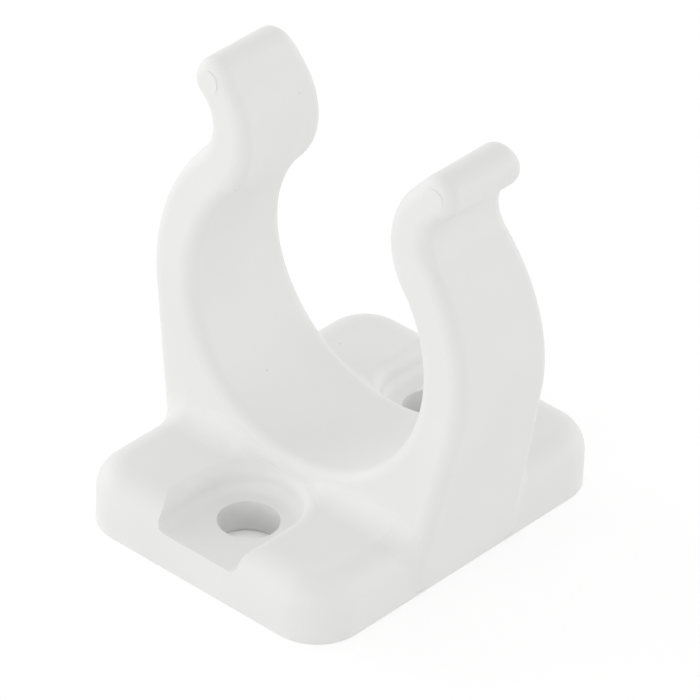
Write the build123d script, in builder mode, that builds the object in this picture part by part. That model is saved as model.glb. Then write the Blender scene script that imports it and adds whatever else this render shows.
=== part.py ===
"""Snap-in tube holder: one moulded clip on a screw-down base.

The tube lies along Y in a round seat between two springy arms.
The base stands on Z = 0 with its middle at the origin.
A screw goes down through each end of the base, with its head in an open pocket.
All lengths are millimetres and all angles are degrees.
"""
import math
import os

from build123d import *

# Tube seat and arms
tube_diameter = 25.0
seat_height = 7.0
arm_thickness = 4.55
arm_width_low = 13.6
arm_width_top = 8.95
arm_edge_radius = 1.2
flank_foot_inset = 0.05

# Neck and lips
grip_angle = 40.9
neck_radius = 7.15
lip_flare = 49.4
lip_straight = 2.05
lip_radius = 1.92
lip_hollow_radius = 3.3
lip_end_height = 2.3
lip_end_inset = 0.65

# Base
base_width = 27.6
base_length = 35.6
base_height = 5.65
base_corner_radius = 4.4
base_edge_radius = 2.6

# Screw holes and head pockets
screw_spacing = 22.8
screw_hole_diameter = 5.3
screw_hole_relief = 0.6
pocket_width = 8.9
pocket_floor = 3.4
pocket_rim_radius = 1.15
pocket_foot_radius = 0.9

# Soft web in the corner between the arms and the top of the base
web_radius = 1.7
web_root = 0.8

# Sizes that follow from the ones above
seat_radius = tube_diameter / 2
outer_radius = seat_radius + arm_thickness
seat_centre = (0, seat_height + seat_radius)
half_width = base_width / 2
half_length = base_length / 2
hole_y = screw_spacing / 2
hole_radius = screw_hole_diameter / 2
pocket_radius = pocket_width / 2
pocket_depth = base_height - pocket_floor

# Edge radii, each limited by the wall that it runs on
arm_edge = min(arm_edge_radius, 0.9 * lip_radius, 0.45 * arm_thickness)
base_edge = min(base_edge_radius, 0.8 * base_height, 0.9 * base_corner_radius)
pocket_rim = min(pocket_rim_radius, 0.7 * pocket_depth)
pocket_foot = min(pocket_foot_radius, 0.9 * (pocket_depth - pocket_rim))
hole_relief = min(screw_hole_relief, 0.5 * pocket_floor)


def point_at(centre, radius, angle):
    """Point on a circle, the angle counted from local x in degrees."""
    return (
        centre[0] + radius * math.cos(math.radians(angle)),
        centre[1] + radius * math.sin(math.radians(angle)),
    )


def direction(start, end):
    """Angle of the line from start to end, in degrees."""
    return math.degrees(math.atan2(end[1] - start[1], end[0] - start[0]))


# Right-hand arm in front view: the seat runs into the neck bulge, then the straight side of the lip
neck_centre = point_at(seat_centre, seat_radius + neck_radius, grip_angle)
lip_normal = lip_flare + 90
neck_end = point_at(neck_centre, neck_radius, lip_normal)
lip_start = point_at(neck_end, lip_straight, lip_flare)
lip_centre = point_at(lip_start, lip_radius, lip_normal + 180)
overall_height = lip_centre[1] + lip_radius

# The hollow behind the lip touches the lip bead and the round back of the arm
seat_to_lip = math.dist(seat_centre, lip_centre)
seat_to_hollow = outer_radius + lip_hollow_radius
lip_to_hollow = lip_radius + lip_hollow_radius
hollow_cosine = (seat_to_hollow**2 + seat_to_lip**2 - lip_to_hollow**2) / (2 * seat_to_hollow * seat_to_lip)
hollow_angle = direction(seat_centre, lip_centre) - math.degrees(math.acos(hollow_cosine))
hollow_centre = point_at(seat_centre, seat_to_hollow, hollow_angle)

# The flank is the tangent from the foot of the base to the round back of the arm
flank_foot = (half_width - flank_foot_inset, 0)
foot_to_seat = math.dist(flank_foot, seat_centre)
flank_lean = math.degrees(math.atan2(seat_centre[1], flank_foot[0]) - math.acos(outer_radius / foot_to_seat))
flank_top = point_at(seat_centre, outer_radius, -flank_lean)

# Each end of the arms slopes in towards the lips and bends over at the lip bead
end_slope = (arm_width_low - arm_width_top) / 2 / overall_height


def arm_half_width(z):
    """Half the width of the arms along Y at a height, the bend at the lips left out."""
    return arm_width_low / 2 - end_slope * z


def arm_end_y(x, z):
    """Y of the near end of the right-hand arm at a point of its front view, its soft outer edge included."""
    past = x - (flank_foot[0] + z * math.tan(math.radians(flank_lean)) - arm_edge)
    drop = arm_edge - math.sqrt(arm_edge**2 - max(past, 0) ** 2)
    return drop - arm_half_width(z)


def base_top_z(x):
    """Height of the top of the base, its soft side edge included."""
    past = x - (half_width - base_edge)
    return base_height - base_edge + math.sqrt(base_edge**2 - max(past, 0) ** 2)


lip_end_z = overall_height - lip_end_height
bend_start = (arm_half_width(lip_end_z), lip_end_z)
bend_top = (arm_half_width(overall_height) - lip_end_inset, overall_height)

with BuildPart() as clip:
    # Open ring in front view
    with BuildSketch(Plane.XZ):
        with BuildLine():
            CenterArc(seat_centre, seat_radius, -90, 90 + grip_angle)
            CenterArc(neck_centre, neck_radius, grip_angle + 180, lip_normal - grip_angle - 180)
            Line(neck_end, lip_start)
            lip_turn = (lip_normal - direction(lip_centre, hollow_centre)) % 360
            CenterArc(lip_centre, lip_radius, lip_normal, -lip_turn)
            hollow_from = direction(hollow_centre, lip_centre)
            hollow_turn = (direction(hollow_centre, seat_centre) - hollow_from) % 360
            CenterArc(hollow_centre, lip_hollow_radius, hollow_from, hollow_turn)
            CenterArc(seat_centre, outer_radius, hollow_angle, -hollow_angle - flank_lean)
            Polyline(flank_top, flank_foot, (0, 0))
            mirror(about=Plane.YZ)
        make_face()
    extrude(amount=arm_width_low, both=True)

    # Side view: the arms get narrower along Y towards the lips
    with BuildSketch(Plane.YZ):
        with BuildLine():
            Polyline((0, 0), (arm_half_width(0), 0), bend_start)
            TangentArc(bend_start, bend_top, tangent=(-end_slope, 1))
            Line(bend_top, (0, overall_height))
            mirror(about=Plane.YZ)
        make_face()
    extrude(amount=base_width, both=True, mode=Mode.INTERSECT)

    # Soft edges all round both ends, left square only where they cross the ends along X
    ends = clip.faces().sort_by(Axis.Y)
    end_edges = ends[0].edges() + ends[-1].edges()
    fillet(end_edges.filter_by(Axis.X, reverse=True), arm_edge)

# Space for a screw head: open to the end of the base, round at its inner side, soft at its foot and rim
with BuildPart() as head_space:
    with BuildSketch(Plane.XZ.offset(hole_y)) as half_section:
        with BuildLine():
            foot_x = pocket_radius - pocket_foot
            foot_z = pocket_floor + pocket_foot
            rim_x = pocket_radius + pocket_rim
            rim_z = base_height - pocket_rim
            Polyline((0, base_height), (0, pocket_floor), (foot_x, pocket_floor))
            CenterArc((foot_x, foot_z), pocket_foot, -90, 90)
            Line((pocket_radius, foot_z), (pocket_radius, rim_z))
            CenterArc((rim_x, rim_z), pocket_rim, 180, -90)
            Line((rim_x, base_height), (0, base_height))
        make_face()
    revolve(axis=Axis((0, -hole_y, 0), (0, 0, 1)))
    extrude(half_section.sketch, amount=half_length)
    mirror(about=Plane.YZ)
    mirror(about=Plane.XZ)

# Hollow corner along the foot of the near right-hand arm, from the pocket outwards: it swells, then fades
with BuildPart() as web:
    # Share of the half width of the base, and share of the web radius there
    for width_share, radius_share in (
        (0.21, 0.14), (0.33, 0.5), (0.5, 0.88), (0.7, 1.0), (0.83, 1.0), (0.9, 0.93), (0.95, 0.75), (0.985, 0.3)
    ):
        station = width_share * half_width
        radius = radius_share * web_radius
        bow = radius * (1 - math.sqrt(0.5))
        dip = bow / 8
        foot_z = base_top_z(station)
        face_y = arm_end_y(station, foot_z)
        arc_top = (face_y + dip, foot_z + radius)
        arc_foot = (face_y - radius, foot_z - dip)
        with BuildSketch(Plane.YZ.offset(station)):
            with BuildLine():
                ThreePointArc(arc_top, (face_y - bow, foot_z + bow), arc_foot)
                Polyline(arc_foot, (face_y + web_root, arc_foot[1]), (face_y + web_root, arc_top[1]), arc_top)
            make_face()
    loft()
    mirror(about=Plane.YZ)
    mirror(about=Plane.XZ)

with BuildPart() as tube_holder:
    # Base block with soft corners and top edges
    with BuildSketch():
        RectangleRounded(base_width, base_length, base_corner_radius)
    extrude(amount=base_height)
    fillet(tube_holder.faces().sort_by(Axis.Z)[-1].edges(), base_edge)

    # Head pockets and screw holes, the holes eased where they leave the underside
    add(head_space.part, mode=Mode.SUBTRACT)
    with BuildSketch():
        with GridLocations(0, screw_spacing, 1, 2):
            Circle(hole_radius)
    extrude(amount=base_height, mode=Mode.SUBTRACT)
    chamfer(tube_holder.faces().sort_by(Axis.Z)[0].inner_wires().edges(), hole_relief)

    add(clip.part)
    add(web.part)

tube_holder.part.label = "tube_holder"
os.makedirs("parts", exist_ok=True)
export_step(tube_holder.part, "parts/tube_holder.step")
print("overall height", round(overall_height, 3))
print("gap between the necks", round(2 * (neck_centre[0] - neck_radius), 3))
print("lean of the flanks", round(flank_lean, 2))
print("volume", round(tube_holder.part.volume, 1))
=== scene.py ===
# %% [markdown]
# # A snap-in tube holder
# The part is one injection-moulded clip of white nylon: a flat base with two screw holes, and two
# springy arms that close round a 25 mm tube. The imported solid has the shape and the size, so this
# lesson leaves it where it is and adds what it lacks: the finish of the plastic, softer corners at
# the foot of the arms, the witness marks of the mould, a camera that stands where the picture was
# taken, and soft studio light.

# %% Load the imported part
import math

import bpy
import numpy as np
from mathutils import Matrix, Vector


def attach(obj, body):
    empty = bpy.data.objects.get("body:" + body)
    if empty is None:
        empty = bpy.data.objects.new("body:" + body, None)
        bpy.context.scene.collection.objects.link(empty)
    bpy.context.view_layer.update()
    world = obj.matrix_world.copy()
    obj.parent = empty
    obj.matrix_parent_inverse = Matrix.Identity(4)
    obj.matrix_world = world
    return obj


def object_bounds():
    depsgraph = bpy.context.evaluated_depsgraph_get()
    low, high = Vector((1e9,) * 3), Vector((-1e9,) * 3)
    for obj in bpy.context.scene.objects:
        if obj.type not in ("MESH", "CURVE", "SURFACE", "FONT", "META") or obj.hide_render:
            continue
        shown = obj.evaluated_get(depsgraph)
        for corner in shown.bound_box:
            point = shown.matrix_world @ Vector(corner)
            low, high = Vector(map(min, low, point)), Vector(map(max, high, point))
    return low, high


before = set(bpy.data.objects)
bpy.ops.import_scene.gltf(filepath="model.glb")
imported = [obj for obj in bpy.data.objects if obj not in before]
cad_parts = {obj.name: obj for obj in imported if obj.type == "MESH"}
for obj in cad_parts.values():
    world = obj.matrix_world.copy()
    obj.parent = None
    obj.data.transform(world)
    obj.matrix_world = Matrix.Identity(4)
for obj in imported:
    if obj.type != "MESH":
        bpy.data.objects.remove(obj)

cad_low, cad_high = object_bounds()
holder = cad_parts["tube_holder"]
MM = 0.001
print("part size in mm:", [round(side / MM, 2) for side in cad_high - cad_low])

# %% [markdown]
# ## The camera
# The outline in the picture fixes the camera: its turn and height come from how the base's edges
# run, its distance from how strongly they draw together, and its small roll from the tilt of the
# uprights. A Track To constraint could aim it, but gives no roll. A camera is an object whose own
# Z axis points back at the viewer, so its matrix is built from three perpendicular directions.

# %% Camera
camera_azimuth = math.radians(40.80)
camera_elevation = math.radians(34.68)
camera_roll = math.radians(2.50)
camera_distance = 584.8 * MM
camera_lens = 366.4
camera_sensor = 36.0
nearest_seen = 10 * MM
aim_height = 18.0 * MM
aim_right = 0.144 * MM
aim_up = -2.592 * MM


def bearing(azimuth, elevation):
    """Unit vector at an azimuth and elevation: azimuth 0 lies at -Y and 90 degrees at +X."""
    level = math.cos(elevation)
    return Vector((math.sin(azimuth) * level, -math.cos(azimuth) * level, math.sin(elevation)))


def camera_matrix():
    """Place and turn of the camera: back points from the aim to the lens, right is level, up
    closes the frame.

    The roll turns right and up about back. The aim is a point on the part's axis, shifted in the
    picture's plane.
    """
    back = bearing(camera_azimuth, camera_elevation)
    flat_right = Vector((math.cos(camera_azimuth), math.sin(camera_azimuth), 0))
    flat_up = back.cross(flat_right)
    right = flat_right * math.cos(camera_roll) + flat_up * math.sin(camera_roll)
    up = flat_up * math.cos(camera_roll) - flat_right * math.sin(camera_roll)
    aim = Vector((0, 0, aim_height)) + right * aim_right + up * aim_up
    turned = Matrix((right, up, back)).transposed().to_4x4()
    turned.translation = aim + back * camera_distance
    return turned


camera = bpy.data.objects.new("camera", bpy.data.cameras.new("camera"))
camera.data.lens = camera_lens
camera.data.sensor_width = camera_sensor
camera.data.clip_start = nearest_seen
camera.matrix_world = camera_matrix()
bpy.context.scene.collection.objects.link(camera)
bpy.context.scene.camera = camera
print("camera at", [round(c, 4) for c in camera.location])

# %% [markdown]
# ## Colours and nodes
# Colours are written as the eye sees them, in sRGB hex, and turned to the linear numbers that a
# renderer adds and multiplies. Every material below is a small graph, and one function adds each
# of its nodes.

# %% Helpers for materials
pure_white = (1.0, 1.0, 1.0, 1.0)


def linear(hex_colour):
    """sRGB hex to linear RGBA: a channel c becomes c / 12.92 near black, and
    ((c + 0.055) / 1.055) ** 2.4 above that."""
    c = np.array([int(hex_colour[i:i + 2], 16) for i in (1, 3, 5)]) / 255
    return (*np.where(c <= 0.04045, c / 12.92, ((c + 0.055) / 1.055) ** 2.4), 1.0)


def node(tree, kind, inputs=None, links=None, **settings):
    """Add one node: settings are its options, inputs its constants, links what feeds its inputs."""
    made = tree.nodes.new(kind)
    for name, value in settings.items():
        setattr(made, name, value)
    for name, value in (inputs or {}).items():
        made.inputs[name].default_value = value
    for name, output in (links or {}).items():
        tree.links.new(output, made.inputs[name])
    return made


def empty_material(name):
    """A new material with a bare node tree."""
    material = bpy.data.materials.new(name)
    material.use_nodes = True
    material.node_tree.nodes.clear()
    return material


print("mid grey #808080 in linear light:", round(float(linear("#808080")[0]), 3))

# %% [markdown]
# ## The plastic
# White nylon 6 sends back nine tenths of the light that falls on it, so its faces light each other
# and its hollows stay pale. The mould is spark-eroded to a fine satin, so highlights are broad and
# dim. A single flat colour would look like paint, so the graph has four patterns, each at a real
# size: slow clouds where the melt flowed, a fine grain from the mould, a gloss that wanders from
# patch to patch, and a few grey specks, as white mouldings have.

# %% White nylon
cloud_size = 9.0 * MM
cloud_detail = 3.0
cloud_roughness = 0.5
cloud_band = (0.3, 0.7)
cloud_colours = ("#F2F2F1", "#F5F5F4")
speck_spacing = 4.0 * MM
speck_radius = 0.12 * MM
speck_core = 0.5 * speck_radius
speck_strength = 0.6
speck_colour = "#BDBCB6"
gloss_patch = 3.0 * MM
gloss_detail = 2.0
gloss_roughness = (0.42, 0.56)
grain_size = 0.35 * MM
grain_detail = 2.0
grain_height = 0.004 * MM
grain_strength = 0.5
nylon_ior = 1.53


def white_nylon():
    """Moulded nylon 6: a near white with faint clouds and specks, a satin gloss, a fine grain."""
    material = empty_material("moulded_white_nylon")
    tree = material.node_tree
    place = node(tree, "ShaderNodeTexCoord").outputs["Object"]
    # slow clouds of two near whites
    clouds = node(tree, "ShaderNodeTexNoise",
                  {"Scale": 1 / cloud_size, "Detail": cloud_detail, "Roughness": cloud_roughness},
                  {"Vector": place})
    tint = node(tree, "ShaderNodeValToRGB", links={"Fac": clouds.outputs["Fac"]})
    for stop, position, colour in zip(tint.color_ramp.elements, cloud_band, cloud_colours):
        stop.position = position
        stop.color = linear(colour)
    # a speck wherever the surface passes close to a scattered point
    points = node(tree, "ShaderNodeTexVoronoi", {"Scale": 1 / speck_spacing}, {"Vector": place})
    speck = node(tree, "ShaderNodeMapRange",
                 {"From Min": speck_core / speck_spacing, "From Max": speck_radius / speck_spacing,
                  "To Min": speck_strength, "To Max": 0.0},
                 {"Value": points.outputs["Distance"]})
    colour = node(tree, "ShaderNodeMix", {"B": linear(speck_colour)},
                  {"Factor": speck.outputs["Result"], "A": tint.outputs["Color"]},
                  data_type="RGBA")
    # gloss that wanders from patch to patch
    patches = node(tree, "ShaderNodeTexNoise",
                   {"Scale": 1 / gloss_patch, "Detail": gloss_detail}, {"Vector": place})
    gloss = node(tree, "ShaderNodeMapRange",
                 {"To Min": gloss_roughness[0], "To Max": gloss_roughness[1]},
                 {"Value": patches.outputs["Fac"]})
    # mould grain
    grain = node(tree, "ShaderNodeTexNoise",
                 {"Scale": 1 / grain_size, "Detail": grain_detail}, {"Vector": place})
    relief = node(tree, "ShaderNodeBump", {"Strength": grain_strength, "Distance": grain_height},
                  {"Height": grain.outputs["Fac"]})
    shader = node(tree, "ShaderNodeBsdfPrincipled", {"IOR": nylon_ior},
                  {"Base Color": colour.outputs["Result"], "Roughness": gloss.outputs["Result"],
                   "Normal": relief.outputs["Normal"]})
    node(tree, "ShaderNodeOutputMaterial", links={"Surface": shader.outputs["BSDF"]})
    return material


nylon = white_nylon()
for slot in holder.material_slots:
    slot.material = nylon
print("finish:", nylon.name, "with", len(nylon.node_tree.nodes), "nodes")

# %% [markdown]
# ## Pieces that lie on the part
# A new piece has to lie on the solid, so its points first need to know where the solid is. Casting
# a ray for each point would be slow. A Shrinkwrap modifier slides all points at once along one
# axis until they meet a target, and the moved points are read back as one array. A second helper
# turns points and faces into a piece of the same plastic that rides on the part.

# %% Helpers for pieces
least_slide = 0.01 * MM


def fall_on_part(points, toward):
    """Slide points along one unit direction until they meet the part, and tell which of them do.

    The points are turned so that the direction is -Z, which the modifier follows, and are turned
    back afterwards.
    """
    turn = Vector(-toward).to_track_quat("Z", "Y").to_matrix()
    axes = np.array(turn)
    start = points.reshape(-1, 3) @ axes
    mesh = bpy.data.meshes.new("probe")
    mesh.vertices.add(len(start))
    mesh.vertices.foreach_set("co", start.ravel())
    probe = bpy.data.objects.new("probe", mesh)
    probe.matrix_world = turn.to_4x4()
    bpy.context.scene.collection.objects.link(probe)
    wrap = probe.modifiers.new("wrap", "SHRINKWRAP")
    wrap.target = holder
    wrap.wrap_method = "PROJECT"
    wrap.use_project_z = True
    wrap.use_negative_direction = True
    wrap.use_positive_direction = False
    found = np.empty(start.size)
    wrapped = probe.evaluated_get(bpy.context.evaluated_depsgraph_get())
    wrapped.data.vertices.foreach_get("co", found)
    bpy.data.objects.remove(probe)
    bpy.data.meshes.remove(mesh)
    found = found.reshape(start.shape)
    met = np.abs(found - start).max(axis=1) > least_slide
    return (found @ axes.T).reshape(points.shape), met.reshape(points.shape[:-1])


def four(grid):
    """The values at the four corners of every cell of a grid, anticlockwise."""
    return np.stack((grid[:-1, :-1], grid[1:, :-1], grid[1:, 1:], grid[:-1, 1:]), axis=-1)


def nylon_piece(name, points, faces, smooth):
    """A piece of the same plastic that rides on the part."""
    mesh = bpy.data.meshes.new(name)
    mesh.from_pydata(points.reshape(-1, 3).tolist(), [], faces)
    mesh.polygons.foreach_set("use_smooth", [smooth] * len(mesh.polygons))
    mesh.materials.append(nylon)
    piece = bpy.data.objects.new(name, mesh)
    bpy.context.scene.collection.objects.link(piece)
    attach(piece, "root")
    return piece


seat_bottom, _ = fall_on_part(np.array([(0, 0, cad_high.z)]), np.array((0.0, 0.0, -1.0)))
print("lowest point of the seat in mm:", round(float(seat_bottom[0, 2]) / MM, 2))

# %% [markdown]
# ## Soft corners
# A mould is cut with round tools, so no inside corner of a moulding is sharp. At the foot of each
# arm the corner is rounded as by a ball that rolls along it and touches both walls. A Bevel
# modifier needs edges that faces share, and the solid is loose triangles, so the ball is rolled by
# numbers instead. The part is read as heights above a slanted plane. Growing these heights by a
# ball and shrinking them again fills just the corner, and meets the walls without a step.

# %% Rolling a ball over heights
corner_radius = 2.2 * MM
corner_step = 0.12 * MM
out_of_reach = 1.0


def ball_reach(field, radius, step, sign, pick, empty):
    """Largest or smallest field(q) + sign * sqrt(R^2 - |p - q|^2) over the points q within R of
    each point p."""
    reach = int(radius / step)
    padded = np.pad(field, reach, constant_values=empty)
    best = np.full(field.shape, empty)
    rows, columns = field.shape
    for i in range(-reach, reach + 1):
        for j in range(-reach, reach + 1):
            rest = radius ** 2 - (i * i + j * j) * step ** 2
            if rest > 0:
                moved = padded[reach + i:reach + i + rows, reach + j:reach + j + columns]
                best = pick(best, moved + sign * math.sqrt(rest))
    return best


def roll_ball(heights, radius, step):
    """The surface that a rolling ball leaves: heights grown by the ball, then shrunk by it."""
    grown = ball_reach(heights, radius, step, 1, np.maximum, -out_of_reach)
    return ball_reach(grown, radius, step, -1, np.minimum, out_of_reach)


def eased(values, ends):
    """0 at the first end, 1 at the second, and the smooth step 3 s^2 - 2 s^3 between them."""
    share = np.clip((values - ends[0]) / (ends[1] - ends[0]), 0, 1)
    return share * share * (3 - 2 * share)


groove_cells = 50
groove = np.abs(np.mgrid[-groove_cells:groove_cells + 1, -groove_cells:groove_cells + 1][0])
filled = roll_ball(groove * corner_step, corner_radius, corner_step)[groove_cells, groove_cells]
print("the ball fills a square groove to", round(float(filled) / MM, 3), "mm, and R (sqrt 2 - 1) is",
      round((math.sqrt(2) - 1) * corner_radius / MM, 3), "mm")

# %% [markdown]
# ## One corner, used four times
# The slanted plane faces a viewer who looks down into the corner at the near right arm. The blend
# fades out where the real one ends: at the screw head's pocket, up the arm, and on the seat. Its
# edge dips just under the wall that it meets, so no rim shows. The part's symmetry gives the other
# three corners, and a Solidify modifier gives each a thin wall that hides in the part.

# %% Soft corners at the foot of the arms
corner_middle = np.array((8.0, -6.5, 5.65)) * MM
corner_out = np.array((1.0, -1.0, 1.0)) / math.sqrt(3)
corner_right = np.array((2.0, 1.0, -1.0)) / math.sqrt(6)
corner_up = np.array((0.0, 1.0, 1.0)) / math.sqrt(2)
corner_span_right = (-8.7 * MM, 10.9 * MM)
corner_span_up = (-7.9 * MM, 5.9 * MM)
ray_start = 30 * MM
far_below = -50 * MM
screw_y = -11.4 * MM
# where the blend fades in, each from none to full
fade_from_pocket = (1.6 * MM, 3.8 * MM)
fade_from_rim = (4.6 * MM, 5.6 * MM)
fade_from_top = (9.2 * MM, 8.2 * MM)
fade_from_front = (-10.5 * MM, -9.5 * MM)
fade_from_seat = (-5.6 * MM, -6.0 * MM)
fade_at_flank = (11.5 * MM, 12.5 * MM)
fade_from_middle = (-4.4 * MM, -5.0 * MM)
# what counts as part of the blend, and how its edge dips
least_rise = 0.004 * MM
edge_dip = 0.05 * MM
largest_jump = 1.6 * MM
lowest_point = 0.1 * MM
corner_wall = 0.2 * MM
corner_sides = (
    ("right_near_soft_corner", 1, 1),
    ("left_near_soft_corner", -1, 1),
    ("right_far_soft_corner", 1, -1),
    ("left_far_soft_corner", -1, -1),
)


def soft_corner():
    """Points and quads of the blend at the near right arm: over a grid of heights h, the surface
    h + fade * (rolled(h) - h), kept where it rises."""
    right, up = np.meshgrid(np.arange(*corner_span_right, corner_step),
                            np.arange(*corner_span_up, corner_step), indexing="ij")
    plane = corner_middle + right[..., None] * corner_right + up[..., None] * corner_up
    hits, seen = fall_on_part(plane + ray_start * corner_out, -corner_out)
    heights = np.where(seen, (hits - plane) @ corner_out, far_below)
    rise = roll_ball(heights, corner_radius, corner_step) - heights
    x, y, z = np.moveaxis(plane + heights[..., None] * corner_out, -1, 0)
    from_screw = np.hypot(x, np.maximum(y - screw_y, 0))
    rise *= eased(x, fade_from_pocket) * eased(from_screw, fade_from_rim)
    rise *= eased(z, fade_from_top) * eased(y, fade_from_front) * eased(y, fade_from_middle)
    rise *= np.maximum(eased(y, fade_from_seat), eased(x, fade_at_flank))
    # near the grid's own border the ball lacks neighbours
    border = int(corner_radius / corner_step) + 1
    trusted = np.zeros_like(seen)
    trusted[border:-border, border:-border] = True
    shown = seen & trusted & (rise > least_rise)
    heights_shown = heights + np.where(shown, rise, -edge_dip)
    points = plane + heights_shown[..., None] * corner_out
    kept = four(seen).all(-1) & four(shown).any(-1)
    kept &= np.ptp(four(heights), axis=-1) < largest_jump
    kept &= four(points[..., 2]).min(-1) > lowest_point
    quads = four(np.arange(right.size).reshape(right.shape))[kept]
    used, numbers = np.unique(quads, return_inverse=True)
    return points.reshape(-1, 3)[used], numbers.reshape(quads.shape)


corner_points, corner_quads = soft_corner()
for name, side_x, side_y in corner_sides:
    # one mirror turns the faces round, and two turn them back
    quads = corner_quads if side_x == side_y else corner_quads[:, ::-1]
    corner = nylon_piece(name, corner_points * (side_x, side_y, 1), quads.tolist(), True)
    wall = corner.modifiers.new("wall", "SOLIDIFY")
    wall.thickness = corner_wall
    wall.offset = -1
print("each soft corner:", len(corner_points), "points and", len(corner_quads), "quads")

# %% [markdown]
# ## Witness marks of the mould
# Round pins push the moulding out of the mould. One stood at the near end of each lip, and its end
# leaves a disc that is level with the lip on one side and a tenth of a millimetre proud on the
# other. A bump in the material could hint at it, but would be missing from the mesh. The disc is
# a polar grid laid on the lip's end, with a rim that runs into the lip.

# %% Pin marks on the lips
pin_radius = 1.05 * MM
pin_proud = 0.12 * MM
pin_root = 0.2 * MM
pin_rim = 0.02 * MM
pin_rings = 8
pin_sides = 72
lip_x = 12.216 * MM
lip_z = 37.326 * MM
proud_side = math.radians(115)


def pin_mark(name, side):
    """Disc on a lip's near end: a point at radius r and angle a rises by
    proud * (1 + r / R * cos(a - a0)) / 2."""
    turns = np.linspace(0, 2 * math.pi, pin_sides, endpoint=False)
    steps = np.append(np.linspace(pin_rim, pin_radius, pin_rings), pin_radius + pin_rim)
    radius, angle = np.meshgrid(steps, turns, indexing="ij")
    start = np.stack((side * (lip_x + radius * np.cos(angle)), np.full_like(radius, cad_low.y),
                      lip_z + radius * np.sin(angle)), axis=-1)
    points, _ = fall_on_part(start, np.array((0.0, 1.0, 0.0)))
    rise = pin_proud * (1 + radius / pin_radius * np.cos(angle - proud_side)) / 2
    rise[-1] = -pin_root
    points[..., 1] -= rise
    number = np.arange(radius.size).reshape(radius.shape)
    round_again = np.concatenate((number, number[:, :1]), axis=1)
    faces = four(round_again).reshape(-1, 4).tolist()
    faces += [number[0].tolist(), number[-1, ::-1].tolist()]
    return nylon_piece(name, points, faces if side > 0 else [face[::-1] for face in faces], False)


marks = [pin_mark("right_lip_pin_mark", 1), pin_mark("left_lip_pin_mark", -1)]
print("pin marks:", [mark.name for mark in marks])

# %% [markdown]
# ## The floor
# The picture has a white background. A floor that is lit to white would throw too much light back
# up at the part, so the floor is a pale matt surface, and only the rays that the camera, a
# reflection or a clear material sends out find some extra white on it. Its own part of the light
# still dims round the holder, so a faint shadow stays.

# %% Floor
floor_half_size = 3.0
floor_drop = 0.02 * MM
floor_lift = 0.27
paper_colour = "#F6F6F6"


def seen_directly(tree):
    """1 for camera, glossy and transmission rays, and 0 for rays that carry light to the part."""
    path = node(tree, "ShaderNodeLightPath")
    either = node(tree, "ShaderNodeMath", operation="MAXIMUM",
                  links={0: path.outputs["Is Camera Ray"], 1: path.outputs["Is Glossy Ray"]})
    any_of_three = node(tree, "ShaderNodeMath", operation="MAXIMUM",
                        links={0: either.outputs["Value"], 1: path.outputs["Is Transmission Ray"]})
    return any_of_three.outputs["Value"]


def pale_floor():
    """Matt white paper that carries a shadow, with some white added for rays that look at it."""
    material = empty_material("pale_studio_paper")
    tree = material.node_tree
    matt = node(tree, "ShaderNodeBsdfDiffuse", {"Color": linear(paper_colour)})
    lift = node(tree, "ShaderNodeMath", {1: floor_lift}, {0: seen_directly(tree)},
                operation="MULTIPLY")
    white = node(tree, "ShaderNodeEmission", {"Color": pure_white},
                 {"Strength": lift.outputs["Value"]})
    total = node(tree, "ShaderNodeAddShader",
                 links={0: matt.outputs["BSDF"], 1: white.outputs["Emission"]})
    node(tree, "ShaderNodeOutputMaterial", links={"Surface": total.outputs["Shader"]})
    return material


corners = floor_half_size * np.array([(-1, -1, 0), (1, -1, 0), (1, 1, 0), (-1, 1, 0)], float)
corners[:, 2] = cad_low.z - floor_drop
floor_mesh = bpy.data.meshes.new("floor")
floor_mesh.from_pydata(corners.tolist(), [], [(0, 1, 2, 3)])
floor_mesh.materials.append(pale_floor())
floor = bpy.data.objects.new("floor", floor_mesh)
bpy.context.scene.collection.objects.link(floor)
print("floor:", floor_mesh.materials[0].name, "of", 2 * floor_half_size, "m a side")

# %% [markdown]
# ## The white room
# Most of the light comes from all round, as in a light tent, so the world is a pale room. A plain
# even world would make the part look flat. Here the walls give more light than the ceiling, and
# the wall behind the part more than the one on the camera's side.

# %% World
room_light = 0.685
wall_light = 0.60
near_wall_light = 0.13
wall_fade = 2.0
near_wall = bearing(math.radians(55), 0)
seen_white = 1.0


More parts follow.
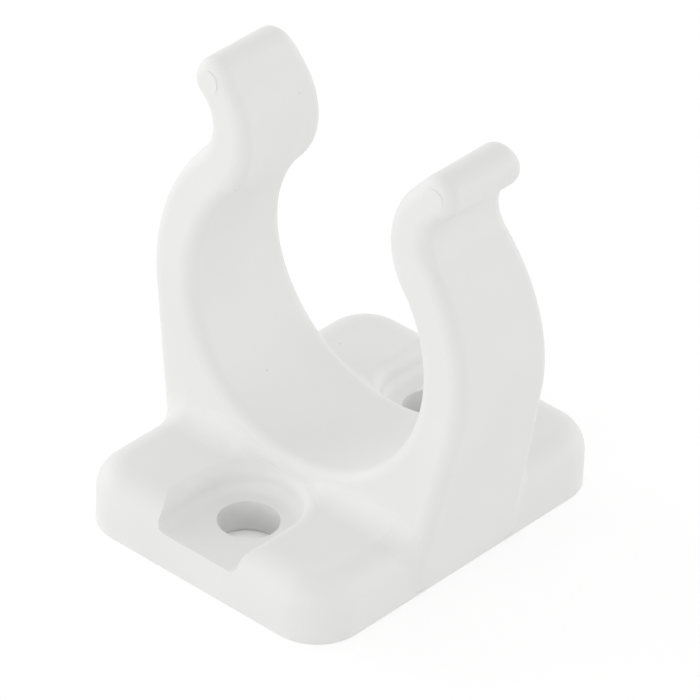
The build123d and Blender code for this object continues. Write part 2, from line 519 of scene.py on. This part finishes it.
def white_room():
    """A world that is plain white to the camera, and gives the part
    room_light + wall * (1 - z) ** wall_fade.

    z is the height of the direction, 0 at the horizon and 1 overhead. wall runs evenly from
    near_wall_light on the camera's side to wall_light on the other side.
    """
    world = bpy.data.worlds.new("white_room")
    world.use_nodes = True
    tree = world.node_tree
    tree.nodes.clear()
    toward = node(tree, "ShaderNodeTexCoord").outputs["Generated"]
    way = node(tree, "ShaderNodeSeparateXYZ", links={"Vector": toward})
    low = node(tree, "ShaderNodeMath", {0: 1.0}, {1: way.outputs["Z"]},
               operation="SUBTRACT", use_clamp=True)
    wall = node(tree, "ShaderNodeMath", {1: wall_fade}, {0: low.outputs["Value"]},
                operation="POWER")
    side = node(tree, "ShaderNodeVectorMath", {1: near_wall}, {0: toward}, operation="DOT_PRODUCT")
    level = node(tree, "ShaderNodeMapRange",
                 {"From Min": -1.0, "To Min": wall_light, "To Max": near_wall_light},
                 {"Value": side.outputs["Value"]})
    light = node(tree, "ShaderNodeMath", {2: room_light},
                 {0: wall.outputs["Value"], 1: level.outputs["Result"]}, operation="MULTIPLY_ADD")
    strength = node(tree, "ShaderNodeMix", {"B": seen_white},
                    {"Factor": seen_directly(tree), "A": light.outputs["Value"]},
                    data_type="FLOAT")
    air = node(tree, "ShaderNodeBackground", {"Color": pure_white},
               {"Strength": strength.outputs["Result"]})
    node(tree, "ShaderNodeOutputWorld", links={"Surface": air.outputs["Background"]})
    return world


bpy.context.scene.world = white_room()
print("world:", bpy.context.scene.world.name)

# %% [markdown]
# ## Lamps
# The shading in the picture is very soft: upright faces are lightest and the tops are a little
# darker, so the light comes in low. One large lamp overhead would turn that round. Instead, long
# diffusers stand low round the part, the strongest of them at the left.

# %% Lamps
lamp_distance = 0.8
lamp_width = 0.7
lamp_height = 0.3
lamp_elevation = math.radians(11)
# name, azimuth in degrees, watts
lamp_set = (
    ("left_diffuser", -75, 0.95),
    ("front_diffuser", 3, 0.72),
    ("back_diffuser", 150, 0.75),
)


def soft_lamp(name, azimuth, watts):
    """A long low diffuser that looks at the middle of the part."""
    back = bearing(math.radians(azimuth), lamp_elevation)
    lamp = bpy.data.objects.new(name, bpy.data.lights.new(name, "AREA"))
    lamp.data.shape = "RECTANGLE"
    lamp.data.size = lamp_width
    lamp.data.size_y = lamp_height
    lamp.data.energy = watts
    lamp.location = Vector((0, 0, aim_height)) + back * lamp_distance
    lamp.rotation_mode = "QUATERNION"
    lamp.rotation_quaternion = back.to_track_quat("Z", "Y")
    bpy.context.scene.collection.objects.link(lamp)
    return lamp


lamps = [soft_lamp(*settings) for settings in lamp_set]
print("lamps:", [lamp.name for lamp in lamps])

# %% [markdown]
# ## Finish
# The view transform stays plain, so that a colour comes out as it was written.

# %% View transform
bpy.context.scene.view_settings.view_transform = "Standard"
